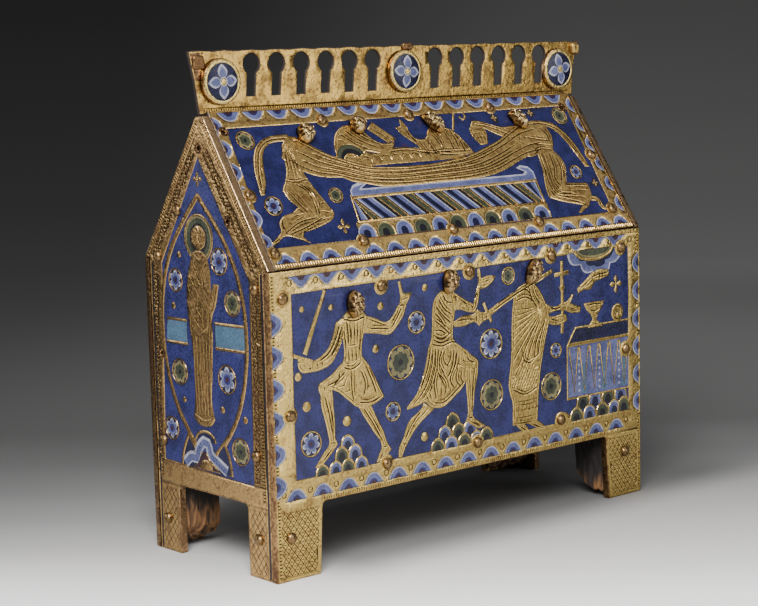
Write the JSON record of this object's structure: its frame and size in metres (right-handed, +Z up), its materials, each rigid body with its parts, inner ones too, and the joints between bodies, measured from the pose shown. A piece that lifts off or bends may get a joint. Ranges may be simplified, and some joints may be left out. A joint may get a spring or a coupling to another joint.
{
  "type": "house-shaped reliquary casket",
  "caption": "House-shaped box on four feet, of enamelled gilt copper plates nailed over a hollow wooden core, with a pierced crest along the roof.",
  "frame": {"origin": "on the ground under the middle of the whole casket's box", "axes": "+X along the casket to the right end, -Y to the front, +Z up"},
  "size_m": [0.2084, 0.0853, 0.1957],
  "materials": {
    "enamelled_plates": "fire-gilt copper inlaid flush with blue, white, turquoise, green and yellow glass enamel",
    "gilt_copper": "worn, pitted fire gilding",
    "enamel_bosses": "glossy dark blue enamel with a petalled flower and a gilt rim",
    "bare_copper": "broken, worn copper",
    "cast_heads": "cast and chased, gilding rubbed bright on the high points",
    "nails": "rubbed, pinkish brown domed heads",
    "oak": "bare old wood, dark and wormed"
  },
  "bodies": {
    "root": {"front_plate": "enamelled_plates", "back_plate": "enamelled_plates", "left_end_plate": "enamelled_plates", "right_end_plate": "enamelled_plates", "front_roof_plate": "enamelled_plates", "back_roof_plate": "enamelled_plates", "crest": "gilt_copper", "crest_boss_left": "enamel_bosses", "crest_boss_middle": "enamel_bosses", "crest_boss_right": "enamel_bosses", "knop_stub_left": "bare_copper", "knop_stub_middle": "bare_copper", "knop_stub_right": "bare_copper", "front_head_1": "cast_heads", "front_head_2": "cast_heads", "front_head_3": "cast_heads", "roof_head_1": "cast_heads", "roof_head_2": "cast_heads", "roof_head_3": "cast_heads", "roof_head_4": "cast_heads", "front_nail_01": "nails", "front_nail_02": "nails", "front_nail_03": "nails", "front_nail_04": "nails", "front_nail_05": "nails", "front_nail_06": "nails", "front_nail_07": "nails", "front_nail_08": "nails", "front_nail_09": "nails", "front_nail_10": "nails", "front_nail_11": "nails", "front_nail_12": "nails", "roof_nail_01": "nails", "roof_nail_02": "nails", "roof_nail_03": "nails", "roof_nail_04": "nails", "roof_nail_05": "nails", "roof_nail_06": "nails", "roof_nail_07": "nails", "roof_nail_08": "nails", "roof_nail_09": "nails", "roof_nail_10": "nails", "end_nail_01": "nails", "end_nail_02": "nails", "end_nail_03": "nails", "end_nail_04": "nails", "end_nail_05": "nails", "end_nail_06": "nails", "end_nail_07": "nails", "front_board": "oak", "back_board": "oak", "left_end_board": "oak", "right_end_board": "oak", "base_board": "oak", "front_roof_board": "oak", "back_roof_board": "oak"}
  },
  "joints": []
}
